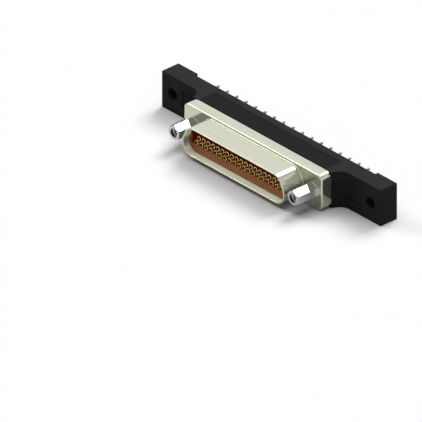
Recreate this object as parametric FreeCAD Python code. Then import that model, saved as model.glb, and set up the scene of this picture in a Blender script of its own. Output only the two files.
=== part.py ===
import FreeCAD, Part
import math
import os

from FreeCAD import Vector

# Straight board-mount connector with two staggered rows of miniature sockets, in millimetres.
# The origin is midway between the two mounting holes, on the face that sits on the board.
# +X runs along the connector, the mating side faces -Y and the tails leave along +Y.
# The connector lies on its long narrow side, as it would on a bench, with +Z up.

# Contacts, seen on the mating face
long_row_contacts = 19
contact_pitch = 1.27
contact_row_gap = 1.09
socket_diameter = 1.0
socket_bore_diameter = 0.6
socket_bore_depth = 3.0
socket_fit = 0.01

# Solid wire tails, seen on the board side
tail_pitch = 2.54
tail_row_gap = 2.54
tail_diameter = 0.5
tail_reach = 2.77
tail_tip_chamfer = 0.1
tail_fit = 0.02

# Black housing
housing_height = 7.5
ear_depth = 4.06
block_rise = 2.2
block_side_margin = 0.03
block_fillet_radius = 2.54
ear_end_length = 2.86
hole_offset_from_tails = 3.81
mounting_hole_diameter = 2.4
standoff_depth = 0.64
pad_reach_inside_hole = 2.34
rear_wall = 1.58
window_arm_width = 1.55
channel_edge = 0.61
channel_margin = 1.34

# Potting compound that fills the windows and the wire channel
potting_sink = 0.07
ear_pocket_depth = 0.18
ear_pocket_overlap = 0.32

# Metal shell
flange_thickness = 2.3
flange_inset = 0.07
flange_end_length = 2.55
flange_corner_radius = 1.2
flange_edge_chamfer = 0.2
hood_length = 4.87
hood_height = 6.07
hood_lift = 0.055
hood_wall = 0.31
hood_side_margin = 2.37
hood_side_slant = 25.0
hood_lower_radius = 2.4
hood_upper_radius = 2.2
hood_root_chamfer = 0.16
backfill_depth = 0.6

# Insulator
insulator_recess = 1.43
insulator_rim = 0.55
insulator_rim_thickness = 1.0
insulator_fit = 0.03

# Jackposts and the nuts behind the flange
jackpost_offset_from_hood = 2.27
jackpost_across_flats = 2.725
jackpost_length = 4.8
jackpost_chamfer = 0.2
jackpost_mouth_diameter = 1.8
jackpost_mouth_depth = 0.75
jackpost_bore_diameter = 1.3
jackpost_bore_depth = 3.4
shank_diameter = 2.1
shank_fit = 0.1
thread_fit = 0.02
nut_across_flats = 3.96
nut_thickness = 1.5

# The small rounds that repeat in every contact are regular prisms with this many sides
socket_sides = 10
tail_sides = 8

# Widths that follow from the two contact grids
short_row_contacts = long_row_contacts - 1
contact_half_span = (long_row_contacts - 1) * contact_pitch / 2
tail_half_span = (long_row_contacts - 1) * tail_pitch / 2
hood_half_width = contact_half_span + hood_side_margin
jackpost_x = hood_half_width + jackpost_offset_from_hood
flange_half_width = jackpost_x + flange_end_length
block_half_width = flange_half_width + block_side_margin
ear_root_x = block_half_width + block_fillet_radius
window_half_width = block_half_width - window_arm_width
channel_half_width = max(tail_half_span, ear_root_x) + channel_margin
channel_half_height = tail_row_gap / 2 + channel_edge
mounting_hole_x = max(tail_half_span, ear_root_x) + hole_offset_from_tails
housing_half_length = mounting_hole_x + ear_end_length
pad_inner_x = mounting_hole_x - pad_reach_inside_hole
ear_pocket_inner_x = ear_root_x - ear_pocket_overlap

# Planes along Y, from the board towards the mating connector
cavity_floor_y = -(standoff_depth + rear_wall)
ear_front_y = -ear_depth
ear_pocket_y = ear_front_y + ear_pocket_depth
block_front_y = ear_front_y - block_rise
flange_front_y = block_front_y - flange_thickness
lip_y = flange_front_y - hood_length
insulator_front_y = lip_y + insulator_recess
insulator_rear_y = block_front_y - backfill_depth
insulator_rim_y = insulator_rear_y - insulator_rim_thickness
jackpost_front_y = flange_front_y - jackpost_length
nut_rear_y = block_front_y + nut_thickness

half_height = housing_height / 2
along_y = Vector(0, 1, 0)


def point_on_circle(x, y, z, radius, degrees):
    """A point on a circle that faces along Y."""
    angle = math.radians(degrees)
    return Vector(x + radius * math.cos(angle), y, z + radius * math.sin(angle))


def arc_facing_y(x, y, z, radius, first, last):
    """An arc of a circle that faces along Y, between two angles in degrees."""
    ends = [point_on_circle(x, y, z, radius, a) for a in (first, (first + last) / 2, last)]
    return Part.Arc(*ends).toShape()


def line(start, end):
    return Part.LineSegment(start, end).toShape()


def box(x_from, x_to, y_from, y_to, z_from, z_to):
    corner = Vector(x_from, y_from, z_from)
    return Part.makeBox(x_to - x_from, y_to - y_from, z_to - z_from, corner)


def extruded(wires, y_to):
    """A solid between the plane of the wires, holes after the outline, and another plane along Y."""
    face = Part.makeFace(wires, "Part::FaceMakerBullseye")
    return face.extrude(Vector(0, y_to - face.Vertexes[0].Y, 0))


def edges_in_plane(shape, y):
    """The edges of a shape that lie in one plane across Y."""
    reach = 0.001
    return [
        e for e in shape.Edges if abs(e.BoundBox.YMin - y) < reach and abs(e.BoundBox.YMax - y) < reach
    ]


def round_bar(x, z, y_from, y_to, diameter):
    return Part.makeCylinder(diameter / 2, y_to - y_from, Vector(x, y_from, z), along_y)


def polygon(x, z, y, circle_diameter, sides, first_angle=0.0):
    """A closed regular outline whose corners lie on a circle that faces along Y."""
    step = 360.0 / sides
    corners = [
        point_on_circle(x, y, z, circle_diameter / 2, first_angle + i * step)
        for i in range(sides)
    ]
    return Part.makePolygon(corners + corners[:1])


def hexagon_bar(x, z, y_from, y_to, across_flats):
    """A hexagonal bar along Y with a corner at the top and one at the bottom."""
    across_corners = across_flats / math.cos(math.radians(30))
    return extruded([polygon(x, z, y_from, across_corners, 6, 90.0)], y_to)


def mirrored_in_x(shape):
    return shape.mirror(Vector(0, 0, 0), Vector(1, 0, 0))


def long_row(pitch):
    """Places along X of the row that has a contact on the centre line."""
    middle = (long_row_contacts - 1) / 2
    return [(i - middle) * pitch for i in range(long_row_contacts)]


def short_row(pitch):
    """Places along X of the row that sits between the contacts of the other."""
    middle = (short_row_contacts - 1) / 2
    return [(i - middle) * pitch for i in range(short_row_contacts)]


def contact_places(pitch, row_gap):
    """(x, z) of every contact, the upper short row first."""
    upper = [(x, row_gap / 2) for x in short_row(pitch)]
    lower = [(x, -row_gap / 2) for x in long_row(pitch)]
    return upper + lower


def d_outline(y, grow):
    """The hood's outline, wide side down, made larger or smaller all round by grow."""
    lower_radius = hood_lower_radius + grow
    upper_radius = hood_upper_radius + grow
    slant = hood_side_slant
    lower_z = hood_lift - hood_height / 2 + hood_lower_radius
    upper_z = hood_lift + hood_height / 2 - hood_upper_radius
    lower_x = hood_half_width - hood_lower_radius
    drop = hood_lower_radius - hood_upper_radius
    rise = math.sin(math.radians(slant)) * (upper_z - lower_z)
    upper_x = lower_x + (drop - rise) / math.cos(math.radians(slant))
    right_low = arc_facing_y(lower_x, y, lower_z, lower_radius, -90, slant)
    right_high = arc_facing_y(upper_x, y, upper_z, upper_radius, slant, 90)
    left_high = arc_facing_y(-upper_x, y, upper_z, upper_radius, 90, 180 - slant)
    left_low = arc_facing_y(-lower_x, y, lower_z, lower_radius, 180 - slant, 270)
    corners = [right_low, right_high, left_high, left_low]
    edges = []
    for corner, following in zip(corners, corners[1:] + corners[:1]):
        edges.append(corner)
        edges.append(line(corner.Vertexes[-1].Point, following.Vertexes[0].Point))
    return Part.Wire(edges)


def d_block(y_from, y_to, grow):
    return extruded([d_outline(y_from, grow)], y_to)


def housing_outline(fillet_sink):
    """The housing seen from above, with its concave side fillets sunk by fillet_sink."""
    z = -half_height
    radius = block_fillet_radius + fillet_sink
    centre_x = ear_root_x
    centre_y = ear_front_y - block_fillet_radius
    drop = min(block_rise, block_fillet_radius)
    end_angle = math.asin((block_fillet_radius - drop) / radius)
    end_x = centre_x - radius * math.cos(end_angle)
    middle_angle = (end_angle + math.pi / 2) / 2
    arc_start = Vector(centre_x, centre_y + radius, z)
    arc_middle = Vector(
        centre_x - radius * math.cos(middle_angle),
        centre_y + radius * math.sin(middle_angle),
        z,
    )
    arc_end = Vector(end_x, centre_y + radius * math.sin(end_angle), z)
    right_side = [
        Part.Arc(arc_end, arc_middle, arc_start).toShape(),
        line(arc_start, Vector(housing_half_length, centre_y + radius, z)),
        line(Vector(housing_half_length, centre_y + radius, z), Vector(housing_half_length, 0, z)),
        line(Vector(housing_half_length, 0, z), Vector(pad_inner_x, 0, z)),
        line(Vector(pad_inner_x, 0, z), Vector(pad_inner_x, -standoff_depth, z)),
    ]
    if block_rise > block_fillet_radius:
        right_side.append(line(Vector(end_x, block_front_y, z), arc_end))
    left_side = [mirrored_in_x(edge) for edge in right_side]
    front = line(Vector(-end_x, block_front_y, z), Vector(end_x, block_front_y, z))
    rear = line(Vector(-pad_inner_x, -standoff_depth, z), Vector(pad_inner_x, -standoff_depth, z))
    return Part.Wire(Part.__sortEdges__(right_side + left_side + [front, rear]))


def housing_block(fillet_sink):
    return Part.Face(housing_outline(fillet_sink)).extrude(Vector(0, 0, housing_height))


def nut_blanks():
    """The nuts as plain bars: what they and the shanks take out of the potting and the housing."""
    return [
        hexagon_bar(x, 0, block_front_y, nut_rear_y, nut_across_flats)
        for x in (-jackpost_x, jackpost_x)
    ]


def channel(half_width, front_y):
    """The band at the height of the tails through which the wires fan out."""
    height = channel_half_height
    return box(-half_width, half_width, front_y, cavity_floor_y, -height, height)


def window(half_room):
    """The room behind the shell, open at the housing's top and bottom."""
    half_width = window_half_width
    return box(-half_width, half_width, block_front_y, cavity_floor_y, -half_room, half_room)


def board_housing():
    solid = housing_block(0.0).cut([window(half_height), channel(channel_half_width, block_front_y)])
    for x in (-mounting_hole_x, mounting_hole_x):
        solid = solid.cut(round_bar(x, 0, ear_front_y, 0, mounting_hole_diameter))
    hole_diameter = tail_diameter + 2 * tail_fit
    tail_holes = [
        extruded([polygon(x, z, cavity_floor_y, hole_diameter, tail_sides)], -standoff_depth)
        for x, z in contact_places(tail_pitch, tail_row_gap)
    ]
    return solid.cut(tail_holes + nut_blanks())


def wire_potting():
    """One casting that fills the window, the channel and the shell's open back."""
    over_fillets = channel(ear_pocket_inner_x, block_front_y).common(housing_block(potting_sink))
    under_ears = channel(channel_half_width, ear_pocket_y)
    back_plug = d_block(insulator_rear_y, block_front_y, insulator_rim - hood_wall)
    cast = window(half_height - potting_sink).fuse([over_fillets, under_ears, back_plug])
    return cast.cut(nut_blanks()).removeSplitter()


def flange():
    """The thick plate that the hood stands on, with round corners and an eased front edge."""
    half_flange_height = half_height - flange_inset
    plate = box(
        -flange_half_width,
        flange_half_width,
        flange_front_y,
        block_front_y,
        -half_flange_height,
        half_flange_height,
    )
    corners = [e for e in plate.Edges if abs(e.tangentAt(e.FirstParameter).y) > 0.9]
    plate = plate.makeFillet(flange_corner_radius, corners)
    return plate.makeChamfer(flange_edge_chamfer, edges_in_plane(plate, flange_front_y))


def hood():
    """The drawn hood with the small bevel where it leaves the flange."""
    root_y = flange_front_y - hood_root_chamfer
    wide = d_outline(flange_front_y, hood_root_chamfer)
    narrow = d_outline(root_y, 0.0)
    return d_block(lip_y, block_front_y, 0.0).fuse(Part.makeLoft([wide, narrow], True, True))


def front_shell():
    solid = flange().fuse(hood())
    solid = solid.cut(d_block(lip_y, block_front_y, -hood_wall))
    rim = insulator_rim - hood_wall
    solid = solid.cut(d_block(insulator_rim_y, block_front_y, rim))
    for x in (-jackpost_x, jackpost_x):
        solid = solid.cut(
            round_bar(x, 0, flange_front_y, block_front_y, shank_diameter + 2 * shank_fit)
        )
    return solid.removeSplitter()


def contact_insulator():
    """The moulded insulator with a cavity for each socket and a rim that stops it in the shell."""
    cavity_diameter = socket_diameter + 2 * socket_fit
    places = contact_places(contact_pitch, contact_row_gap)

    def pierced(y_from, y_to, grow):
        cavities = [polygon(x, z, y_from, cavity_diameter, socket_sides) for x, z in places]
        return extruded([d_outline(y_from, grow)] + cavities, y_to)

    nose = pierced(insulator_front_y, insulator_rim_y, -hood_wall - insulator_fit)
    rim = pierced(insulator_rim_y, insulator_rear_y, insulator_rim - hood_wall - insulator_fit)
    return nose.fuse(rim).removeSplitter()


def socket(x, z):
    """A hollow contact, flush with both faces of the insulator."""
    outer = polygon(x, z, insulator_front_y, socket_diameter, socket_sides)
    bore = polygon(x, z, insulator_front_y, socket_bore_diameter, socket_sides)
    bore_end_y = insulator_front_y + socket_bore_depth
    return extruded([outer], insulator_rear_y).cut(extruded([bore], bore_end_y))


def tail(x, z):
    """The end of a solid wire, from the potting out through the rear wall, with a blunt tip."""
    wire = extruded([polygon(x, z, cavity_floor_y, tail_diameter, tail_sides)], tail_reach)
    return wire.makeChamfer(tail_tip_chamfer, edges_in_plane(wire, tail_reach))


def tail_row(places, z):
    return Part.makeCompound([tail(x, z) for x in places])


def jackpost(x):
    """A hexagonal post with a wide mouth and a threaded bore in front, and a threaded shank behind."""
    across_corners = jackpost_across_flats / math.cos(math.radians(30))
    face_radius = across_corners / 2 - jackpost_chamfer
    post = hexagon_bar(x, 0, jackpost_front_y, flange_front_y, jackpost_across_flats)
    bevel_front = Vector(x, jackpost_front_y, 0)
    bevel = Part.makeCone(face_radius, across_corners / 2, jackpost_chamfer, bevel_front, along_y)
    bevelled_y = jackpost_front_y + jackpost_chamfer
    body = round_bar(x, 0, bevelled_y, flange_front_y, across_corners)
    post = post.common(bevel.fuse(body))
    shank = round_bar(x, 0, flange_front_y, nut_rear_y, shank_diameter)
    mouth_end_y = jackpost_front_y + jackpost_mouth_depth
    mouth = round_bar(x, 0, jackpost_front_y, mouth_end_y, jackpost_mouth_diameter)
    bore_end_y = jackpost_front_y + jackpost_bore_depth
    bore = round_bar(x, 0, jackpost_front_y, bore_end_y, jackpost_bore_diameter)
    return post.fuse(shank).cut([mouth, bore]).removeSplitter()


def jackpost_nut(x):
    blank = hexagon_bar(x, 0, block_front_y, nut_rear_y, nut_across_flats)
    return blank.cut(round_bar(x, 0, block_front_y, nut_rear_y, shank_diameter + 2 * thread_fit))


def sub_parts():
    """Every piece of the connector under its own name."""
    pieces = {
        "board_housing": board_housing(),
        "wire_potting": wire_potting(),
        "front_shell": front_shell(),
        "contact_insulator": contact_insulator(),
        "tails_short_row": tail_row(short_row(tail_pitch), tail_row_gap / 2),
        "tails_long_row": tail_row(long_row(tail_pitch), -tail_row_gap / 2),
    }
    for side, x in (("left", -jackpost_x), ("right", jackpost_x)):
        pieces["jackpost_" + side] = jackpost(x)
        pieces["jackpost_nut_" + side] = jackpost_nut(x)
    places = contact_places(contact_pitch, contact_row_gap)
    for number, (x, z) in enumerate(places, start=1):
        pieces["socket_%02d" % number] = socket(x, z)
    return pieces


def main():
    os.makedirs("parts", exist_ok=True)
    for name, shape in sub_parts().items():
        shape.exportStep(os.path.join("parts", name + ".step"))
        print(name, "solids", len(shape.Solids), "volume", round(shape.Volume, 3), shape.isValid())


main()
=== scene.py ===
import math

import bmesh
import bpy
from mathutils import Matrix, Vector


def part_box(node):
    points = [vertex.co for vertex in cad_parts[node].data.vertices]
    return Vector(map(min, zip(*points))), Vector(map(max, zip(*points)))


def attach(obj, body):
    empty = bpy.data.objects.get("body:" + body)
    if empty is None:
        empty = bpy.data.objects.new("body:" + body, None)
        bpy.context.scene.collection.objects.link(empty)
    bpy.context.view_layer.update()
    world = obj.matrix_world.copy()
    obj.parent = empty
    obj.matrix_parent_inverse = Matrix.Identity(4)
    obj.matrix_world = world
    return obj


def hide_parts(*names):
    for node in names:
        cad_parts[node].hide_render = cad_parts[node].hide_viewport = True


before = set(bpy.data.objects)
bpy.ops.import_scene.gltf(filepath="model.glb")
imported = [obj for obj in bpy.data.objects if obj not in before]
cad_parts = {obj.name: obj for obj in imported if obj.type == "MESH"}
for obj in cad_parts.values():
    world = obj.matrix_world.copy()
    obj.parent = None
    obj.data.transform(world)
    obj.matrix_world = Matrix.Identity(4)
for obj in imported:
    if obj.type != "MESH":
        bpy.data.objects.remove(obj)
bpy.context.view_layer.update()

bl_info = {
    "name": "Board connector finish",
    "version": (1, 0, 0),
    "blender": (4, 5, 0),
    "location": "3D View > Sidebar > Connector",
    "description": "Builds the shell, contacts, posts and finishes of a board connector round its solids",
    "category": "Add Mesh",
}

MM = 0.001

# Points closer together than this are one point
MERGE_DISTANCE = 0.0005 * MM
# Points this close to a plane or a round wall lie in it
PLANE_REACH = 0.002 * MM
# Points this close to a cutting plane count as on it
CUT_REACH = MERGE_DISTANCE / 10
# Edges that turn by more than this stay sharp
SMOOTH_ANGLE = math.radians(32)
# Faces that differ by less than this are one flat face
FLAT_ANGLE = math.radians(0.5)

# How many steps the round shapes are made in
HOOD_CORNER_STEPS = 14
FLANGE_CORNER_STEPS = 10
SHANK_HOLE_STEPS = 32
SOCKET_STEPS = 28
TAIL_STEPS = 20
POST_STEPS = 60
THREAD_RINGS = 80

# A jackpost is a hexagon
JACKPOST_FLATS = 6

# Metres from the floor's middle to its edges, and from the aim to the camera
FLOOR_REACH = 1.5
CAMERA_DISTANCE = 0.3

# Where the solids lie, and what they are called
SHELL_LOW, SHELL_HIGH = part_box("front_shell")
INSULATOR_LOW, INSULATOR_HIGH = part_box("contact_insulator")
HOUSING_LOW, HOUSING_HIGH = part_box("board_housing")
SOCKET_NODES = sorted(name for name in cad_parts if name.startswith("socket_"))
TAIL_NODES = ("tails_short_row", "tails_long_row")
JACKPOST_NODES = ("jackpost_left", "jackpost_right")
NUT_NODES = ("jackpost_nut_left", "jackpost_nut_right")


# Sizes, colours and lights that a user would change


def length(name, description, default):
    return bpy.props.FloatProperty(
        name=name, description=description, default=default, unit="LENGTH", subtype="DISTANCE", precision=5
    )


def angle(name, description, degrees):
    return bpy.props.FloatProperty(
        name=name, description=description, default=math.radians(degrees), unit="ROTATION", subtype="ANGLE"
    )


def colour(name, description, default):
    return bpy.props.FloatVectorProperty(
        name=name, description=description, default=default, subtype="COLOR", size=3, min=0.0, max=1.0
    )


def factor(name, description, default):
    return bpy.props.FloatProperty(
        name=name, description=description, default=default, min=0.0, max=1.0, subtype="FACTOR"
    )


def level(name, description, default):
    return bpy.props.FloatProperty(name=name, description=description, default=default, min=0.0)


def direction(name, description, default):
    return bpy.props.FloatVectorProperty(
        name=name, description=description, default=default, subtype="DIRECTION"
    )


class HousingSettings(bpy.types.PropertyGroup):
    """Sizes and colours of the black housing and the compound cast into it."""

    edge_break: length("Edge break", "Rounding of the moulding's outer edges", 0.05 * MM)
    plastic: colour("Plastic", "Colour of the moulded housing", (0.0335, 0.0335, 0.0335))
    potting: colour("Potting", "Colour of the cast compound where it was poured", (0.0205, 0.0205, 0.021))
    potting_band: colour("Potting band", "Colour of the compound on the ears", (0.031, 0.031, 0.031))
    poured_edge: length("Poured edge", "Height above which the compound has its poured surface", 2.8 * MM)
    poured_blend: length("Poured blend", "Height over which one tone passes into the other", 0.2 * MM)


class ShellSettings(bpy.types.PropertyGroup):
    """Sizes and colours of the drawn hood and its flange."""

    flange_thickness: length("Flange thickness", "From the housing to the flange's front face", 2.3 * MM)
    flange_corner: length("Flange corner", "Radius of the flange's four corners", 1.2 * MM)
    flange_edge: length("Flange edge", "Rounding along the flange's front edge", 0.26 * MM)
    hood_wall: length("Hood wall", "Thickness of the hood's wall", 0.31 * MM)
    hood_height: length("Hood height", "Outside height of the hood", 6.07 * MM)
    hood_lift: length("Hood lift", "How far the hood sits above the flange's middle", 0.055 * MM)
    side_slant: angle("Side slant", "Lean of the hood's narrow sides", 25.0)
    lower_radius: length("Lower radius", "Outside radius of the hood's wide corners", 2.4 * MM)
    upper_radius: length("Upper radius", "Outside radius of the hood's narrow corners", 2.2 * MM)
    root_fillet: length("Root fillet", "Fillet where the hood leaves the flange", 0.14 * MM)
    lip_radius: length("Lip radius", "Rounding on both sides of the hood's lip", 0.1 * MM)
    insulator_gap: length("Insulator gap", "Room between the insulator and the metal", 0.03 * MM)
    insulator_rim: length("Insulator rim", "How far the insulator's rim reaches behind the wall", 0.55 * MM)
    insulator_rim_depth: length("Rim thickness", "Thickness of the insulator's rim", 1.0 * MM)
    shank_hole: length("Shank hole", "Diameter of the flange's holes for the posts", 2.3 * MM)
    nickel: colour("Nickel", "Colour of the plated shell", (0.645, 0.65, 0.53))
    # Painted light: this tone, far paler than the outer nickel, stands in for light on the hood's inner
    # wall
    satin: colour("Satin", "Colour of the plating inside the hood", (0.93, 0.93, 0.81))
    # Painted reflection: this darker tone round the hood's narrow ends stands in for the dark reflections
    # the polished ends show
    painted_end_reflection: colour("Satin end", "Colour inside the hood's narrow ends", (0.26, 0.26, 0.225))
    painted_end_reflection_edge: length("End edge", "Distance from the middle at which the end tone begins", 13.4 * MM)
    end_blend: length("End blend", "Width over which the satin passes into the end tone", 0.5 * MM)


class ContactSettings(bpy.types.PropertyGroup):
    """Sizes and colours of the insulator, the sockets and the wire tails."""

    insulator_edge: length("Insulator edge", "Rounding of the insulator's front edge", 0.08 * MM)
    cavity_room: length("Cavity room", "Room round each socket", 0.01 * MM)
    bore_diameter: length("Bore diameter", "Inside diameter of a socket", 0.6 * MM)
    bore_depth: length("Bore depth", "Depth of a socket's bore", 3.0 * MM)
    rim_rounding: length("Rim rounding", "Rounding of a socket's rim", 0.08 * MM)
    tail_pitch: length("Tail pitch", "Distance between tails in a row", 2.54 * MM)
    tail_tip: length("Tail tip", "Rounding of the tails' tips", 0.17 * MM)
    # Painted reflection: this greyer brown along the lower edge stands in for the hood's pale inner wall
    # mirrored in the insulator
    insulator_painted_reflection: colour("Insulator base", "Colour along the insulator's lower edge", (0.58, 0.34, 0.21))
    # The band under the sockets is the lit copy of the insulator's brown, below the painted shadow
    insulator: colour("Insulator", "Colour of the band under the sockets", (0.72, 0.27, 0.115))
    # Painted shadow: this dark tone round the sockets stands in for the shadow the hood casts on the
    # insulator's face
    insulator_painted_shadow: colour("Insulator dark", "Colour round the sockets", (0.125, 0.016, 0.0006))
    # Past the rows' ends the painted shadow gives way to this less shaded tone
    insulator_side: colour("Insulator side", "Colour past the rows' ends", (0.5, 0.15, 0.035))
    # Height below which the painted reflection lies
    painted_reflection_edge: length("Base edge", "Height of the duller lower edge", -2.0 * MM)
    # Height above which the painted shadow of the hood begins
    painted_shadow_edge: length("Dark edge", "Height at which the insulator turns dark", -1.0 * MM)
    side_edge: length("Side edge", "Distance from the middle at which the side tone begins", 12.6 * MM)
    tone_blend: length("Tone blend", "Width over which one tone passes into the next", 0.6 * MM)
    gold: colour("Gold", "Colour of the plated sockets", (0.95, 0.63, 0.24))
    # Painted shade: this dark gold stands in for the shade inside the sockets' bores
    bore_gold: colour("Bore gold", "Colour of the plating inside the sockets", (0.09, 0.025, 0.002))
    tin: colour("Tin", "Colour of the dipped tails", (0.15, 0.14, 0.095))


class JackpostSettings(bpy.types.PropertyGroup):
    """Sizes and colours of the two posts and their nuts."""

    chamfer: length("Chamfer", "Chamfer round the front end of a post", 0.2 * MM)
    foot: length("Foot", "How far the hexagon spreads where it seats on the flange", 0.09 * MM)
    bar_oversize: length("Bar oversize", "How far the bar stands past the hexagon's corners", 0.01 * MM)
    mouth_diameter: length("Mouth diameter", "Diameter of the wide mouth before the thread", 1.8 * MM)
    mouth_depth: length("Mouth depth", "Depth of the wide mouth", 0.75 * MM)
    bore_diameter: length("Bore diameter", "Crest diameter of the threaded bore", 1.3 * MM)
    bore_depth: length("Bore depth", "Depth of the bore from the front", 3.4 * MM)
    thread_pitch: length("Thread pitch", "Pitch of the thread in the bore", 0.318 * MM)
    thread_depth: length("Thread depth", "Depth of the thread in the bore", 0.12 * MM)
    shank_diameter: length("Shank diameter", "Diameter of the shank behind the flange", 2.1 * MM)
    steel: colour("Steel", "Colour of the polished posts", (0.5, 0.5, 0.5))
    # Painted shade: this dark steel stands in for the shade inside the threaded bores
    bore_steel: colour("Bore steel", "Colour of the steel in the threaded bores", (0.16, 0.16, 0.17))


class StageSettings(bpy.types.PropertyGroup):
    """The camera, the lights and the floor."""

    azimuth: angle("Azimuth", "Where the camera stands round the connector", 47.8)
    elevation: angle("Elevation", "Height of the camera above the horizon", 29.85)
    view_width: length("View width", "Width of what the camera sees", 76.58 * MM)
    aim: bpy.props.FloatVectorProperty(
        name="Aim",
        description="Point of the floor in the middle of the picture",
        default=(4.684 * MM, -23.059 * MM, HOUSING_LOW.z),
        unit="LENGTH",
        subtype="TRANSLATION",
    )
    key_level: level("Key level", "Strength of the lamp behind", 1.75)
    key_towards: direction("Key direction", "Where the lamp behind stands", (-0.11, 0.62, 0.777))
    key_spread: angle("Key spread", "How wide the lamp behind looks", 30.0)
    overhead_level: level("Overhead level", "Strength of the lamp overhead", 1.25)
    overhead_towards: direction("Overhead direction", "Where the lamp overhead stands", (0.0, 0.04, 0.999))
    overhead_spread: angle("Overhead spread", "How wide the lamp overhead looks", 58.0)
    side_level: level("Side level", "Strength of the low lamp at the left", 0.55)
    side_towards: direction("Side direction", "Where the low lamp stands", (-0.7, -0.25, 0.67))
    side_spread: angle("Side spread", "How wide the low lamp looks", 24.0)
    sky_level: level("Sky level", "Light that falls evenly from all sides", 0.05)
    dim_level: factor("Dim level", "How bright metal sees the studio's dim end, to the right", 0.82)
    ceiling_level: factor("Ceiling level", "How bright metal sees the ceiling between the lamps", 0.2)
    floor_shade: factor("Floor shade", "Shade of the floor, as it is seen", 0.985)
    floor_bounce: factor("Floor bounce", "Share of its light that the floor throws on dull surfaces", 0.6)


# Shapes that several pieces share


def spun(mesh, profile, axis_x, axis_z, steps):
    """Turns a profile of (radius, y) points round an axis along Y and closes its poles."""
    verts = [mesh.verts.new((axis_x + radius, y, axis_z)) for radius, y in profile]
    edges = [mesh.edges.new(pair) for pair in zip(verts, verts[1:])]
    bmesh.ops.spin(
        mesh,
        geom=verts + edges,
        cent=(axis_x, 0, axis_z),
        axis=(0, 1, 0),
        dvec=(0, 0, 0),
        angle=math.tau,
        steps=steps,
        use_merge=True,
    )


def arc(mesh, centre, radius, first, last):
    """Spins one vertex about a point in a plane across Y and returns the arc's vertices in order."""
    before = len(mesh.verts)
    start = centre + radius * Vector((math.cos(first), 0, math.sin(first)))
    vert = mesh.verts.new(start)
    bmesh.ops.spin(
        mesh,
        geom=[vert],
        cent=centre,
        axis=(0, -1, 0),
        dvec=(0, 0, 0),
        angle=last - first,
        steps=HOOD_CORNER_STEPS,
        use_merge=False,
    )
    return list(mesh.verts)[before:]


def rim_overhang(shell):
    """How far the insulator's rim reaches past the hood's outside."""
    return shell.insulator_rim - shell.hood_wall - shell.insulator_gap


def hood_face(mesh, y, grow):
    """The hood's outline, wide side down, as one face that looks along -Y."""
    shell = bpy.context.scene.shell_settings
    slant = shell.side_slant
    half_width = INSULATOR_HIGH.x - rim_overhang(shell)
    lower_z = shell.hood_lift - shell.hood_height / 2 + shell.lower_radius
    upper_z = shell.hood_lift + shell.hood_height / 2 - shell.upper_radius
    lower_x = half_width - shell.lower_radius
    drop = shell.lower_radius - shell.upper_radius
    upper_x = lower_x + (drop - math.sin(slant) * (upper_z - lower_z)) / math.cos(slant)
    quarter = math.pi / 2
    lower = shell.lower_radius + grow
    upper = shell.upper_radius + grow
    verts = []
    verts += arc(mesh, Vector((lower_x, y, lower_z)), lower, -quarter, slant)
    verts += arc(mesh, Vector((upper_x, y, upper_z)), upper, slant, quarter)
    verts += arc(mesh, Vector((-upper_x, y, upper_z)), upper, quarter, math.pi - slant)
    verts += arc(mesh, Vector((-lower_x, y, lower_z)), lower, math.pi - slant, 3 * quarter)
    face = mesh.faces.new(verts)
    face.normal_update()
    if face.normal.y > 0:
        face.normal_flip()
    return face


def step_in(mesh, face, inward, forward):
    """Insets a face evenly and moves it along its normal, and returns the band of wall left round it."""
    made = bmesh.ops.inset_individual(
        mesh, faces=[face], thickness=inward, depth=forward, use_even_offset=True
    )
    return [band for band in made["faces"] if band is not face]


def round_over(mesh, face, radius, segments):
    """Rounds a wall over into the face at its end."""
    for i in range(segments):
        first, last = (math.pi / 2 * k / segments for k in (i, i + 1))
        inward = radius * (math.cos(first) - math.cos(last))
        step_in(mesh, face, inward, radius * (math.sin(last) - math.sin(first)))


def round_up(mesh, face, radius, segments, way=1):
    """Turns from a flat face into a wall, forward or, with a way of -1, back into the solid."""
    for i in range(segments):
        first, last = (math.pi / 2 * k / segments for k in (i, i + 1))
        inward = radius * (math.sin(last) - math.sin(first))
        step_in(mesh, face, inward, way * radius * (math.cos(first) - math.cos(last)))


def tube(mesh, x, z, y_from, y_to, radius, steps):
    """An open round wall along Y."""
    turned = Matrix.Translation((x, y_from, z)) @ Matrix.Rotation(math.pi / 2, 4, "X")
    made = bmesh.ops.create_circle(mesh, cap_ends=False, segments=steps, radius=radius, matrix=turned)
    edges = list({edge for vert in made["verts"] for edge in vert.link_edges})
    wall = bmesh.ops.extrude_edge_only(mesh, edges=edges)
    verts = [item for item in wall["geom"] if isinstance(item, bmesh.types.BMVert)]
    bmesh.ops.translate(mesh, verts=verts, vec=(0, y_to - y_from, 0))


def bevel(mesh, geom, offset, segments, affect="EDGES", clamp_overlap=False):
    """Rounds off edges or corners."""
    bmesh.ops.bevel(
        mesh,
        geom=geom,
        offset=offset,
        offset_type="OFFSET",
        segments=segments,
        profile=0.5,
        affect=affect,
        material=-1,
        clamp_overlap=clamp_overlap,
    )


def edges_in_plane(mesh, y):
    """The edges that lie in a plane across Y."""
    return [edge for edge in mesh.edges if all(abs(v.co.y - y) < PLANE_REACH for v in edge.verts)]


def sharp_edges_in_plane(mesh, y):
    """The edges in a plane across Y at which the surface turns sharply."""
    return [edge for edge in edges_in_plane(mesh, y) if edge.calc_face_angle(0.0) > SMOOTH_ANGLE]


def flange_front():
    """Where the flange's front face lies along Y."""
    return SHELL_HIGH.y - bpy.context.scene.shell_settings.flange_thickness


def fill_plane(mesh, y):
    """Closes a plane across Y between its outline and the holes in it."""
    edges = [edge for edge in edges_in_plane(mesh, y) if edge.is_boundary]
    bmesh.ops.triangle_fill(mesh, use_beauty=True, use_dissolve=False, edges=edges, normal=(0, -1, 0))


def merge_flat_faces(mesh):
    """Joins the faces that lie in one plane, so that shading follows the whole plane."""
    bmesh.ops.dissolve_limit(
        mesh,
        angle_limit=FLAT_ANGLE,
        verts=mesh.verts,
        edges=mesh.edges,
        use_dissolve_boundaries=False,
        delimit={"MATERIAL"},
    )


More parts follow.
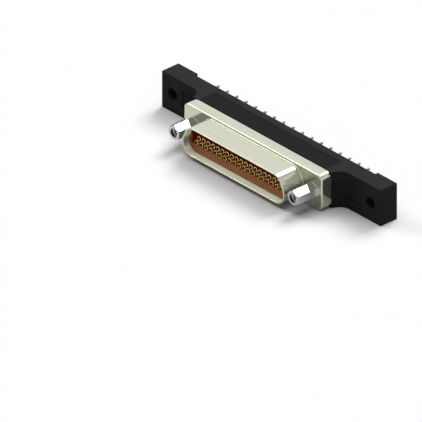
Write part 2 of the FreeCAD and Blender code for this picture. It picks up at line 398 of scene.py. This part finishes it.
def finish_piece(mesh, name, nodes, slot, *materials):
    """Makes a closed mesh a piece that stands for its CAD nodes."""
    bmesh.ops.remove_doubles(mesh, verts=mesh.verts, dist=MERGE_DISTANCE)
    merge_flat_faces(mesh)
    bmesh.ops.recalc_face_normals(mesh, faces=mesh.faces)
    open_edges = sum(1 for edge in mesh.edges if not edge.is_manifold)
    if open_edges:
        raise RuntimeError(f"{name} isn't closed: {open_edges} open edges")
    data = bpy.data.meshes.new(name)
    mesh.to_mesh(data)
    mesh.free()
    data.shade_smooth()
    data.set_sharp_from_angle(angle=SMOOTH_ANGLE)
    for material in materials:
        data.materials.append(material)
    piece = bpy.data.objects.new(name, data)
    bpy.context.scene.collection.objects.link(piece)
    weighted = piece.modifiers.new("flat_faces_stay_flat", "WEIGHTED_NORMAL")
    weighted.keep_sharp = True
    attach(piece, "root")
    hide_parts(*nodes)


# Finishes


class LinkedNodes:
    """Adds nodes to one node tree and links them."""

    def __init__(self, tree):
        self.tree = tree

    def node(self, kind, links=None, **values):
        """A new node whose inputs are linked to sockets or set to values."""
        made = self.tree.nodes.new(kind)
        for name, value in values.items():
            setattr(made, name, value)
        for socket, source in (links or {}).items():
            if isinstance(source, bpy.types.NodeSocket):
                self.tree.links.new(source, made.inputs[socket])
            else:
                made.inputs[socket].default_value = source
        return made

    def spread(self, value, low, high, from_low=0.3, from_high=0.7):
        """A value from low to high, as another goes between its limits, which suit a noise."""
        links = {"Value": value, "From Min": from_low, "From Max": from_high, "To Min": low, "To Max": high}
        return self.node("ShaderNodeMapRange", links).outputs["Result"]

    def past(self, value, edge, width):
        """0 below an edge and 1 above it, with a soft passage of that width."""
        return self.spread(value, 0.0, 1.0, edge - width / 2, edge + width / 2)

    def combine(self, operation, first, second=0.0):
        """The result of one operation on one or two values."""
        return self.node("ShaderNodeMath", {0: first, 1: second}, operation=operation).outputs["Value"]

    def seen_directly(self):
        """1 for what the camera, a mirror or glass shows, and 0 for light on its way to a dull surface."""
        path = self.node("ShaderNodeLightPath").outputs
        seen = path["Is Camera Ray"]
        for ray in ("Is Glossy Ray", "Is Transmission Ray"):
            seen = self.combine("MAXIMUM", seen, path[ray])
        before_dull = self.combine("LESS_THAN", path["Diffuse Depth"], 0.5)
        return self.combine("MULTIPLY", seen, before_dull)


class FinishNodes(LinkedNodes):
    """The node tree of one material, with its principled shader ready to be linked."""

    def __init__(self, name, **constants):
        self.material = bpy.data.materials.new(name)
        self.material.use_nodes = True
        super().__init__(self.material.node_tree)
        self.shader = self.tree.nodes["Principled BSDF"]
        for socket, value in constants.items():
            self.shader.inputs[socket.replace("_", " ")].default_value = value

    def place(self, stretch=(1, 1, 1)):
        """Object coordinates, stretched along the axes."""
        coordinates = self.node("ShaderNodeTexCoord").outputs["Object"]
        links = {"Vector": coordinates, "Scale": stretch}
        return self.node("ShaderNodeMapping", links).outputs["Vector"]

    def above(self, place, edge, width):
        """0 below a height and 1 above it, with a soft passage of that width."""
        height = self.node("ShaderNodeSeparateXYZ", {"Vector": place}).outputs["Z"]
        return self.past(height, edge, width)

    def beside(self, place, edge, width):
        """0 in the middle of the connector and 1 towards its ends, past a distance from the middle."""
        along = self.node("ShaderNodeSeparateXYZ", {"Vector": place}).outputs["X"]
        return self.past(self.combine("ABSOLUTE", along), edge, width)

    def noise(self, place, scale, detail=3.0):
        """A soft random pattern, whose scale counts its waves in a metre."""
        links = {"Vector": place, "Scale": scale, "Detail": detail}
        return self.node("ShaderNodeTexNoise", links).outputs["Fac"]

    def blend(self, amount, first, second):
        """A colour between two colours."""
        made = self.node("ShaderNodeMix", {"Factor": amount}, data_type="RGBA")
        for socket, value in zip([s for s in made.inputs if s.type == "RGBA"], (first, second)):
            if isinstance(value, bpy.types.NodeSocket):
                self.tree.links.new(value, socket)
            else:
                socket.default_value = (*value, 1)
        return next(s for s in made.outputs if s.type == "RGBA")

    def bump(self, height, distance, under=None):
        """A normal that a pattern of heights tilts, on top of an earlier one if it is given."""
        links = {"Height": height, "Distance": distance, "Strength": 1.0}
        if under is not None:
            links["Normal"] = under
        return self.node("ShaderNodeBump", links).outputs["Normal"]

    def use(self, **sockets):
        """Links outputs to the shader's own inputs."""
        for socket, source in sockets.items():
            self.tree.links.new(source, self.shader.inputs[socket.replace("_", " ")])
        return self.material


def shade(tone, amount):
    """The same colour made lighter or darker, with no channel above 1."""
    return tuple(min(1.0, channel * amount) for channel in tone)


def moulded_plastic():
    """Fine-grained black moulding with faint flow marks and rubbed patches."""
    tone = bpy.context.scene.housing_settings.plastic
    finish = FinishNodes("moulded_black_plastic", Specular_IOR_Level=0.005)
    place = finish.place()
    clouds = finish.noise(place, 260.0)
    grain = finish.noise(place, 9000.0, detail=2.0)
    flow = finish.noise(finish.place((90, 700, 700)), 1.0, detail=4.0)
    rubbed = finish.spread(clouds, 0.4, 0.5)
    normal = finish.bump(flow, 0.004 * MM)
    normal = finish.bump(grain, 0.0012 * MM, normal)
    mottled = finish.blend(clouds, shade(tone, 0.8), shade(tone, 1.25))
    return finish.use(Base_Color=mottled, Roughness=rubbed, Normal=normal)


def potting_compound():
    """Cast epoxy with a slow ripple and a few pin holes, darker on its poured faces."""
    settings = bpy.context.scene.housing_settings
    finish = FinishNodes("cast_potting_compound", Specular_IOR_Level=0.005)
    place = finish.place()
    poured = finish.above(place, settings.poured_edge, settings.poured_blend)
    ripple = finish.noise(place, 240.0, detail=1.0)
    pores = finish.node("ShaderNodeTexVoronoi", {"Vector": place, "Scale": 1400.0}).outputs["Distance"]
    pinholes = finish.spread(pores, 0.0, 1.0, from_low=0.04, from_high=0.16)
    normal = finish.bump(ripple, 0.03 * MM)
    normal = finish.bump(pinholes, 0.004 * MM, normal)
    top, band = settings.potting, settings.potting_band
    top_tint = finish.blend(ripple, shade(top, 0.9), shade(top, 1.12))
    band_tint = finish.blend(ripple, shade(band, 0.9), shade(band, 1.12))
    tint = finish.blend(poured, band_tint, top_tint)
    return finish.use(Base_Color=tint, Roughness=finish.spread(ripple, 0.3, 0.42), Normal=normal)


def plated_nickel():
    """Pale nickel plating over fine drawing lines that run along the connector."""
    tone = bpy.context.scene.shell_settings.nickel
    finish = FinishNodes("plated_nickel", Metallic=0.78)
    lines = finish.noise(finish.place((30, 2400, 2400)), 1.0, detail=1.0)
    clouds = finish.noise(finish.place(), 420.0)
    tint = finish.blend(finish.spread(lines, 0.0, 1.0), shade(tone, 0.96), shade(tone, 1.04))
    normal = finish.bump(lines, 0.0003 * MM)
    rough = finish.spread(clouds, 0.09, 0.13)
    return finish.use(Base_Color=tint, Roughness=rough, Normal=normal)


def satin_nickel():
    """The duller plating inside the hood, with the same drawing lines, painted paler than the outer nickel
    as light on the inner wall, and darker round its narrow ends as painted reflection.
    """
    settings = bpy.context.scene.shell_settings
    tone = settings.satin
    finish = FinishNodes("satin_nickel", Metallic=1.0)
    place = finish.place()
    lines = finish.noise(finish.place((40, 4200, 4200)), 1.0, detail=1.0)
    grain = finish.noise(place, 6000.0)
    tint = finish.blend(finish.spread(lines, 0.0, 1.0), shade(tone, 0.94), shade(tone, 1.05))
    # The narrow ends take the darker painted reflection
    ends = finish.beside(place, settings.painted_end_reflection_edge, settings.end_blend)
    tint = finish.blend(ends, tint, settings.painted_end_reflection)
    return finish.use(Base_Color=tint, Roughness=finish.spread(grain, 0.8, 0.9))


def insulator_plastic():
    """Warm brown glass-filled plastic with a fine fleck, in painted tones: the hood's painted shadow round
    the sockets, a lit copy of the brown under them and a painted reflection along the lower edge.
    """
    settings = bpy.context.scene.contact_settings
    width = settings.tone_blend
    finish = FinishNodes("insulator_plastic", Specular_IOR_Level=0.0)
    place = finish.place()
    fleck = finish.noise(place, 5200.0, detail=2.0)
    clouds = finish.noise(finish.place((240, 240, 900)), 1.0)
    band = settings.insulator
    mottled = finish.blend(finish.spread(clouds, 0.0, 1.0), shade(band, 0.85), shade(band, 1.15))
    # The painted shadow round the sockets gives way to the less shaded side tone past the rows' ends
    ends = finish.beside(place, settings.side_edge, width)
    upper = finish.blend(ends, settings.insulator_painted_shadow, settings.insulator_side)
    tint = settings.insulator_painted_reflection
    # From the bottom up: the painted reflection along the lower edge, the lit band, then the painted shadow
    # round the sockets
    for edge, tone in ((settings.painted_reflection_edge, mottled), (settings.painted_shadow_edge, upper)):
        tint = finish.blend(finish.above(place, edge, width), tint, tone)
    normal = finish.bump(fleck, 0.001 * MM)
    return finish.use(Base_Color=tint, Roughness=finish.spread(fleck, 0.2, 0.32), Normal=normal)


def gold_plate():
    """Gold plating with faint turning marks round each socket."""
    tone = bpy.context.scene.contact_settings.gold
    finish = FinishNodes("gold_plate", Metallic=1.0)
    marks = finish.noise(finish.place((400, 16000, 400)), 1.0, detail=2.0)
    tint = finish.blend(marks, shade(tone, 0.94), shade(tone, 1.05))
    normal = finish.bump(marks, 0.0006 * MM)
    return finish.use(Base_Color=tint, Roughness=finish.spread(marks, 0.18, 0.28), Normal=normal)


def bore_gold():
    """Duller plating on the walls of the sockets' bores, darkened as painted shade."""
    tone = bpy.context.scene.contact_settings.bore_gold
    finish = FinishNodes("bore_gold", Metallic=1.0)
    film = finish.noise(finish.place(), 2200.0)
    tint = finish.blend(film, shade(tone, 0.85), shade(tone, 1.1))
    return finish.use(Base_Color=tint, Roughness=finish.spread(film, 0.3, 0.42))


def dipped_tin():
    """Solder-dipped wire, bright and a little uneven."""
    tone = bpy.context.scene.contact_settings.tin
    finish = FinishNodes("dipped_tin", Metallic=1.0)
    lumps = finish.noise(finish.place((1, 0.5, 1)), 2600.0, detail=2.0)
    tint = finish.blend(lumps, shade(tone, 0.9), shade(tone, 1.06))
    normal = finish.bump(lumps, 0.006 * MM)
    return finish.use(Base_Color=tint, Roughness=finish.spread(lumps, 0.16, 0.3), Normal=normal)


def polished_steel():
    """Bright steel with fine lines left by the cutter."""
    tone = bpy.context.scene.jackpost_settings.steel
    finish = FinishNodes("polished_steel", Metallic=1.0)
    lines = finish.noise(finish.place((900, 9000, 900)), 1.0, detail=2.0)
    clouds = finish.noise(finish.place(), 900.0)
    tint = finish.blend(clouds, shade(tone, 0.95), shade(tone, 1.04))
    normal = finish.bump(lines, 0.0001 * MM)
    return finish.use(Base_Color=tint, Roughness=finish.spread(clouds, 0.03, 0.06), Normal=normal)


def bore_steel():
    """Darker steel inside the threaded bores, the darkness painted shade."""
    tone = bpy.context.scene.jackpost_settings.bore_steel
    finish = FinishNodes("bore_steel", Metallic=1.0)
    film = finish.noise(finish.place(), 1500.0)
    tint = finish.blend(film, shade(tone, 0.85), shade(tone, 1.15))
    return finish.use(Base_Color=tint, Roughness=finish.spread(film, 0.12, 0.2))


def nut_steel():
    """Dull plated steel for the nuts buried in the compound."""
    tone = bpy.context.scene.jackpost_settings.steel
    finish = FinishNodes("nut_steel", Metallic=1.0)
    clouds = finish.noise(finish.place(), 1100.0)
    tint = finish.blend(clouds, shade(tone, 0.65), shade(tone, 0.8))
    normal = finish.bump(clouds, 0.002 * MM)
    return finish.use(Base_Color=tint, Roughness=finish.spread(clouds, 0.3, 0.45), Normal=normal)


# Pieces


def paint_node(name, material):
    """Gives a CAD node that stays as it is its finish."""
    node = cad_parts[name]
    if not node.material_slots:
        node.data.materials.append(material)
    for slot in node.material_slots:
        slot.material = material


class CONNECTOR_OT_housing(bpy.types.Operator):
    """Rounds the edges of a copy of the housing and gives it its plastic"""

    bl_idname = "connector.housing"
    bl_label = "Housing"

    def execute(self, context):
        settings = context.scene.housing_settings
        mesh = bmesh.new()
        mesh.from_mesh(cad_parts["board_housing"].data)
        bmesh.ops.remove_doubles(mesh, verts=mesh.verts, dist=MERGE_DISTANCE)
        merge_flat_faces(mesh)
        top = HOUSING_HIGH.z - PLANE_REACH
        side = HOUSING_HIGH.x - PLANE_REACH
        outer = [
            edge
            for edge in mesh.edges
            if edge.calc_face_angle(0.0) > SMOOTH_ANGLE
            and (
                all(abs(v.co.z) > top for v in edge.verts)
                or all(abs(v.co.x) > side for v in edge.verts)
            )
        ]
        bevel(mesh, outer, settings.edge_break, segments=2, clamp_overlap=True)
        finish_piece(mesh, "moulded_housing", ["board_housing"], "housing_plastic", moulded_plastic())
        return {"FINISHED"}


class CONNECTOR_OT_potting(bpy.types.Operator):
    """Gives the cast compound in the housing its finish"""

    bl_idname = "connector.potting"
    bl_label = "Potting"

    def execute(self, context):
        paint_node("wire_potting", potting_compound())
        return {"FINISHED"}


class CONNECTOR_OT_shell(bpy.types.Operator):
    """Builds the flange and the hood as one closed shell"""

    bl_idname = "connector.shell"
    bl_label = "Shell"

    def execute(self, context):
        settings = context.scene.shell_settings
        back_y = SHELL_HIGH.y
        front_y = flange_front()
        mesh = bmesh.new()
        self.flange_plate(mesh, settings, back_y)
        self.hood(mesh, settings, front_y, back_y)
        for node in JACKPOST_NODES:
            low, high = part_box(node)
            x = (low.x + high.x) / 2
            tube(mesh, x, 0, front_y, back_y, settings.shank_hole / 2, SHANK_HOLE_STEPS)
        fill_plane(mesh, front_y)
        fill_plane(mesh, back_y)
        finish_piece(
            mesh, "nickel_shell", ["front_shell"], "shell_nickel", plated_nickel(), satin_nickel()
        )
        return {"FINISHED"}

    def flange_plate(self, mesh, settings, back_y):
        """The plate's edge, open in front and behind."""
        corners = [
            (x, back_y, z)
            for x, z in (
                (SHELL_LOW.x, SHELL_LOW.z),
                (SHELL_HIGH.x, SHELL_LOW.z),
                (SHELL_HIGH.x, SHELL_HIGH.z),
                (SHELL_LOW.x, SHELL_HIGH.z),
            )
        ]
        plate = mesh.faces.new([mesh.verts.new(corner) for corner in corners])
        bevel(mesh, plate.verts[:], settings.flange_corner, FLANGE_CORNER_STEPS, affect="VERTICES")
        # Rounding the corners has made the face anew
        plate = next(iter(mesh.faces))
        plate.normal_update()
        if plate.normal.y > 0:
            plate.normal_flip()
        step_in(mesh, plate, 0, settings.flange_thickness - settings.flange_edge)
        round_over(mesh, plate, settings.flange_edge, segments=4)
        bmesh.ops.delete(mesh, geom=[plate], context="FACES_ONLY")

    def hood(self, mesh, settings, front_y, back_y):
        """The hood's wall, out from its root, over the lip and back inside to the open rear."""
        lip = settings.lip_radius
        wall = settings.hood_wall
        length_out = front_y - SHELL_LOW.y
        rim_y = INSULATOR_HIGH.y - settings.insulator_rim_depth
        face = hood_face(mesh, front_y, settings.root_fillet)
        round_up(mesh, face, settings.root_fillet, segments=5)
        step_in(mesh, face, 0, length_out - settings.root_fillet - lip)
        round_over(mesh, face, lip, segments=3)
        step_in(mesh, face, wall - 2 * lip, 0)
        round_up(mesh, face, lip, segments=3, way=-1)
        for band in step_in(mesh, face, 0, -(rim_y - SHELL_LOW.y - lip)):
            band.material_index = 1
        step_in(mesh, face, -settings.insulator_rim, 0)
        step_in(mesh, face, 0, -(back_y - rim_y))
        bmesh.ops.delete(mesh, geom=[face], context="FACES_ONLY")


class CONNECTOR_OT_insulator(bpy.types.Operator):
    """Builds the insulator with a round cavity for each socket"""

    bl_idname = "connector.insulator"
    bl_label = "Insulator"

    def execute(self, context):
        shell = context.scene.shell_settings
        settings = context.scene.contact_settings
        front_y, rear_y = INSULATOR_LOW.y, INSULATOR_HIGH.y
        rim_depth = shell.insulator_rim_depth
        mesh = bmesh.new()
        face = hood_face(mesh, rear_y, rim_overhang(shell))
        step_in(mesh, face, 0, rim_depth)
        step_in(mesh, face, shell.insulator_rim, 0)
        step_in(mesh, face, 0, rear_y - front_y - rim_depth - settings.insulator_edge)
        round_over(mesh, face, settings.insulator_edge, segments=3)
        bmesh.ops.delete(mesh, geom=[face], context="FACES_ONLY")
        for node in SOCKET_NODES:
            low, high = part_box(node)
            radius = (high.x - low.x) / 2 + settings.cavity_room
            middle = (low + high) / 2
            tube(mesh, middle.x, middle.z, front_y, rear_y, radius, SOCKET_STEPS)
        fill_plane(mesh, front_y)
        fill_plane(mesh, rear_y)
        finish_piece(
            mesh, "moulded_insulator", ["contact_insulator"], "insulator_plastic", insulator_plastic()
        )
        return {"FINISHED"}


class CONNECTOR_OT_sockets(bpy.types.Operator):
    """Turns a gold socket for each cavity"""

    bl_idname = "connector.sockets"
    bl_label = "Sockets"

    def execute(self, context):
        settings = context.scene.contact_settings
        gold, painted_shade_gold = gold_plate(), bore_gold()
        bore = settings.bore_diameter / 2
        for node in SOCKET_NODES:
            low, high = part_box(node)
            middle = (low + high) / 2
            radius = (high.x - low.x) / 2
            bore_end = low.y + settings.bore_depth
            inside = [(0, bore_end), (bore, bore_end), (bore, low.y)]
            outside = [(radius, low.y), (radius, high.y), (0, high.y)]
            mesh = bmesh.new()
            spun(mesh, inside + outside, middle.x, middle.z, SOCKET_STEPS)
            bevel(mesh, sharp_edges_in_plane(mesh, low.y), settings.rim_rounding, segments=3)
            self.paint_bore_shade(mesh, middle, bore + settings.rim_rounding + PLANE_REACH)
            finish_piece(mesh, "gold_" + node, [node], "socket_gold", gold, painted_shade_gold)
        return {"FINISHED"}

    def paint_bore_shade(self, mesh, middle, reach):
        """Gives the faces within a reach of the axis the second material, the darker gold that paints shade
        in the bore.
        """
        axis = Vector((middle.x, 0, middle.z))
        for face in mesh.faces:
            if all((Vector((v.co.x, 0, v.co.z)) - axis).length < reach for v in face.verts):
                face.material_index = 1


class CONNECTOR_OT_tails(bpy.types.Operator):
    """Turns the wire tails of both rows with rounded tips"""

    bl_idname = "connector.tails"
    bl_label = "Tails"

    def execute(self, context):
        settings = context.scene.contact_settings
        tin = dipped_tin()
        for node in TAIL_NODES:
            low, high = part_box(node)
            radius = (high.z - low.z) / 2
            count = round((high.x - low.x - 2 * radius) / settings.tail_pitch) + 1
            mesh = bmesh.new()
            for i in range(count):
                x = low.x + radius + i * settings.tail_pitch
                profile = [(0, low.y), (radius, low.y), (radius, high.y), (0, high.y)]
                spun(mesh, profile, x, (low.z + high.z) / 2, TAIL_STEPS)
            bevel(mesh, sharp_edges_in_plane(mesh, high.y), settings.tail_tip, segments=4)
            finish_piece(mesh, "tinned_" + node, [node], "tail_tin", tin)
        return {"FINISHED"}


class CONNECTOR_OT_jackposts(bpy.types.Operator):
    """Turns the two posts, mills their six flats and cuts the thread in their bores"""

    bl_idname = "connector.jackposts"
    bl_label = "Jackposts"

    def execute(self, context):
        settings = context.scene.jackpost_settings
        steel, bore = polished_steel(), bore_steel()
        for node in JACKPOST_NODES:
            low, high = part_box(node)
            axis_x = (low.x + high.x) / 2
            flat_distance = (high.x - low.x) / 2
            mesh = bmesh.new()
            self.turned_bar(mesh, settings, axis_x, low, high)
            self.cut_thread(mesh, settings, axis_x, low.y)
            self.mill_flats(mesh, axis_x, flat_distance)
            self.spread_foot(mesh, settings, axis_x, flat_distance)
            finish_piece(mesh, "polished_" + node, [node], "jackpost_steel", steel, bore)
        return {"FINISHED"}

    def turned_bar(self, mesh, settings, axis_x, low, high):
        """The round bar with its chamfer, its shank, its stepped bore and rings for the thread."""
        seat_y = flange_front()
        corner = (high.x - low.x) / 2 / math.cos(math.pi / JACKPOST_FLATS)
        bar = corner + settings.bar_oversize
        face = corner - settings.chamfer
        bore = settings.bore_diameter / 2
        mouth = settings.mouth_diameter / 2
        shank = settings.shank_diameter / 2
        step_y = low.y + settings.mouth_depth
        end_y = low.y + settings.bore_depth
        profile = [(0, end_y)]
        profile += [(bore, end_y + (step_y - end_y) * i / THREAD_RINGS) for i in range(THREAD_RINGS + 1)]
        profile += [(mouth, step_y), (mouth, low.y), (face, low.y)]
        profile += [(bar, low.y + bar - face), (bar, seat_y)]
        profile += [(shank, seat_y), (shank, high.y), (0, high.y)]
        spun(mesh, profile, axis_x, 0, POST_STEPS)
        bmesh.ops.remove_doubles(mesh, verts=mesh.verts, dist=MERGE_DISTANCE)

    def cut_thread(self, mesh, settings, axis_x, front_y):
        """Moves the bore's rings outwards along a helix that eases off at both ends."""
        bore = settings.bore_diameter / 2
        pitch = settings.thread_pitch
        start_y = front_y + settings.mouth_depth
        end_y = front_y + settings.bore_depth
        threaded = set()
        for vert in mesh.verts:
            across = Vector((vert.co.x - axis_x, 0, vert.co.z))
            inside = start_y - PLANE_REACH < vert.co.y < end_y + PLANE_REACH
            if not inside or abs(across.length - bore) > PLANE_REACH:
                continue
            turn = math.atan2(across.z, across.x) / math.tau
            phase = (vert.co.y / pitch + turn) % 1.0
            ridge = 1.0 - abs(2.0 * phase - 1.0)
            ease = min(1.0, (vert.co.y - start_y) / pitch, (end_y - vert.co.y) / pitch)
            vert.co += across.normalized() * settings.thread_depth * ridge * max(0.0, ease)
            threaded.add(vert)
        # The threaded faces take the second material, the darker steel of the painted shade
        for face in mesh.faces:
            if threaded.issuperset(face.verts):
                face.material_index = 1

    def mill_flats(self, mesh, axis_x, flat_distance):
        """Cuts the flats off the bar, with a corner at the top and one at the bottom."""
        for i in range(JACKPOST_FLATS):
            turn = math.tau * i / JACKPOST_FLATS
            outward = Vector((math.cos(turn), 0, math.sin(turn)))
            bmesh.ops.bisect_plane(
                mesh,
                geom=mesh.verts[:] + mesh.edges[:] + mesh.faces[:],
                dist=CUT_REACH,
                plane_co=Vector((axis_x, 0, 0)) + outward * flat_distance,
                plane_no=outward,
                clear_outer=True,
            )
            gap = [edge for edge in mesh.edges if edge.is_boundary]
            bmesh.ops.holes_fill(mesh, edges=gap, sides=0)

    def spread_foot(self, mesh, settings, axis_x, flat_distance):
        """Widens the last of the hexagon where it seats on the flange."""
        seat_y = flange_front()
        bmesh.ops.bisect_plane(
            mesh,
            geom=mesh.verts[:] + mesh.edges[:] + mesh.faces[:],
            dist=CUT_REACH,
            plane_co=Vector((0, seat_y - settings.foot, 0)),
            plane_no=Vector((0, 1, 0)),
        )
        seat = [
            vert
            for vert in mesh.verts
            if abs(vert.co.y - seat_y) < PLANE_REACH
            and Vector((vert.co.x - axis_x, vert.co.z)).length > flat_distance - PLANE_REACH
        ]
        widen = 1 + settings.foot / flat_distance
        to_axis = Matrix.Translation((-axis_x, 0, 0))
        bmesh.ops.scale(mesh, vec=(widen, 1, widen), space=to_axis, verts=seat)


class CONNECTOR_OT_nuts(bpy.types.Operator):
    """Gives the nuts behind the flange their finish"""

    bl_idname = "connector.nuts"
    bl_label = "Nuts"

    def execute(self, context):
        steel = nut_steel()
        for node in NUT_NODES:
            paint_node(node, steel)
        return {"FINISHED"}


# The stage


class CONNECTOR_OT_stage(bpy.types.Operator):
    """Sets the floor, the lamps, the sky and the camera"""

    bl_idname = "connector.stage"
    bl_label = "Stage"

    def execute(self, context):
        settings = context.scene.stage_settings
        context.scene.view_settings.view_transform = "Standard"
        self.floor(settings)
        self.sky(context, settings)
        for name in ("key", "overhead", "side"):
            self.lamp(context, settings, name)
        self.camera(context, settings)
        return {"FINISHED"}

    def floor(self, settings):
        """A pale floor that throws only part of its light on dull surfaces."""
        mesh = bmesh.new()
        ground = Matrix.Translation((0, 0, HOUSING_LOW.z))
        bmesh.ops.create_grid(mesh, x_segments=1, y_segments=1, size=FLOOR_REACH, matrix=ground)
        data = bpy.data.meshes.new("floor")
        mesh.to_mesh(data)
        mesh.free()
        floor = bpy.data.objects.new("floor", data)
        bpy.context.scene.collection.objects.link(floor)
        finish = FinishNodes(
            "pale_floor", Roughness=0.9, Specular_IOR_Level=0.0, Emission_Color=(1, 1, 1, 1)
        )
        pale = (settings.floor_shade,) * 3
        clouds = finish.noise(finish.place(), 30.0)
        tint = finish.blend(clouds, shade(pale, 0.995), pale)
        seen = finish.seen_directly()
        lift = finish.combine("MULTIPLY", seen, 1 - settings.floor_shade)
        tint = finish.blend(seen, shade(pale, settings.floor_bounce), tint)
        data.materials.append(finish.use(Base_Color=tint, Emission_Strength=lift))

    def sky(self, context, settings):
        """White to the camera, dimmer to the right and overhead in a mirror, and faint on dull surfaces."""
        world = bpy.data.worlds.new("studio")
        context.scene.world = world
        world.use_nodes = True
        studio = LinkedNodes(world.node_tree)
        coordinates = studio.node("ShaderNodeTexCoord").outputs["Generated"]
        towards = studio.node("ShaderNodeSeparateXYZ", {"Vector": coordinates}).outputs
        sideways = studio.spread(towards["X"], 1.0, settings.dim_level, from_low=-0.3, from_high=0.2)
        upwards = studio.spread(towards["Z"], 1.0, settings.ceiling_level, from_low=0.6, from_high=1.0)
        mirrored = studio.combine("MULTIPLY", sideways, upwards)
        camera_ray = studio.node("ShaderNodeLightPath").outputs["Is Camera Ray"]
        shown = studio.combine("MAXIMUM", mirrored, camera_ray)
        seen = studio.seen_directly()
        strength = studio.spread(seen, settings.sky_level, shown, from_low=0.0, from_high=1.0)
        background = studio.tree.nodes["Background"]
        background.inputs["Color"].default_value = (1, 1, 1, 1)
        studio.tree.links.new(strength, background.inputs["Strength"])

    def lamp(self, context, settings, name):
        """A lamp far away, with the strength, the direction and the spread of its own settings."""
        data = bpy.data.lights.new(name, "SUN")
        data.energy = getattr(settings, name + "_level")
        data.angle = getattr(settings, name + "_spread")
        towards = Vector(getattr(settings, name + "_towards"))
        lamp = bpy.data.objects.new(name, data)
        context.scene.collection.objects.link(lamp)
        lamp.rotation_mode = "QUATERNION"
        lamp.rotation_quaternion = towards.to_track_quat("Z", "Y")

    def camera(self, context, settings):
        """A camera without perspective that looks at the aim."""
        data = bpy.data.cameras.new("camera")
        data.type = "ORTHO"
        data.ortho_scale = settings.view_width
        data.clip_start = 0.01
        data.clip_end = 5.0
        camera = bpy.data.objects.new("camera", data)
        context.scene.collection.objects.link(camera)
        azimuth, elevation = settings.azimuth, settings.elevation
        back = Vector(
            (
                math.sin(azimuth) * math.cos(elevation),
                -math.cos(azimuth) * math.cos(elevation),
                math.sin(elevation),
            )
        )
        camera.location = Vector(settings.aim) + back * CAMERA_DISTANCE
        camera.rotation_mode = "QUATERNION"
        camera.rotation_quaternion = back.to_track_quat("Z", "Y")
        context.scene.camera = camera


class CONNECTOR_PT_sidebar(bpy.types.Panel):
    """Lists the sizes, the colours and the pieces"""

    bl_idname = "CONNECTOR_PT_sidebar"
    bl_label = "Connector"
    bl_space_type = "VIEW_3D"
    bl_region_type = "UI"
    bl_category = "Connector"

    def draw(self, context):
        for name, settings in SETTINGS.items():
            box = self.layout.box()
            box.label(text=settings.__doc__)
            for entry in settings.__annotations__:
                box.prop(getattr(context.scene, name), entry)
        for operator in OPERATORS:
            self.layout.operator(operator.bl_idname)


# What the add-on registers

SETTINGS = {
    "housing_settings": HousingSettings,
    "shell_settings": ShellSettings,
    "contact_settings": ContactSettings,
    "jackpost_settings": JackpostSettings,
    "stage_settings": StageSettings,
}

OPERATORS = (
    CONNECTOR_OT_housing,
    CONNECTOR_OT_potting,
    CONNECTOR_OT_shell,
    CONNECTOR_OT_insulator,
    CONNECTOR_OT_sockets,
    CONNECTOR_OT_tails,
    CONNECTOR_OT_jackposts,
    CONNECTOR_OT_nuts,
    CONNECTOR_OT_stage,
)


def register():
    for name, settings in SETTINGS.items():
        bpy.utils.register_class(settings)
        setattr(bpy.types.Scene, name, bpy.props.PointerProperty(type=settings))
    for operator in OPERATORS:
        bpy.utils.register_class(operator)
    bpy.utils.register_class(CONNECTOR_PT_sidebar)


def unregister():
    bpy.utils.unregister_class(CONNECTOR_PT_sidebar)
    for operator in reversed(OPERATORS):
        bpy.utils.unregister_class(operator)
    for name, settings in reversed(SETTINGS.items()):
        delattr(bpy.types.Scene, name)
        bpy.utils.unregister_class(settings)


def main():
    register()
    bpy.ops.connector.housing()
    bpy.ops.connector.potting()
    bpy.ops.connector.shell()
    bpy.ops.connector.insulator()
    bpy.ops.connector.sockets()
    bpy.ops.connector.tails()
    bpy.ops.connector.jackposts()
    bpy.ops.connector.nuts()
    bpy.ops.connector.stage()


if __name__ == "__main__":
    main()
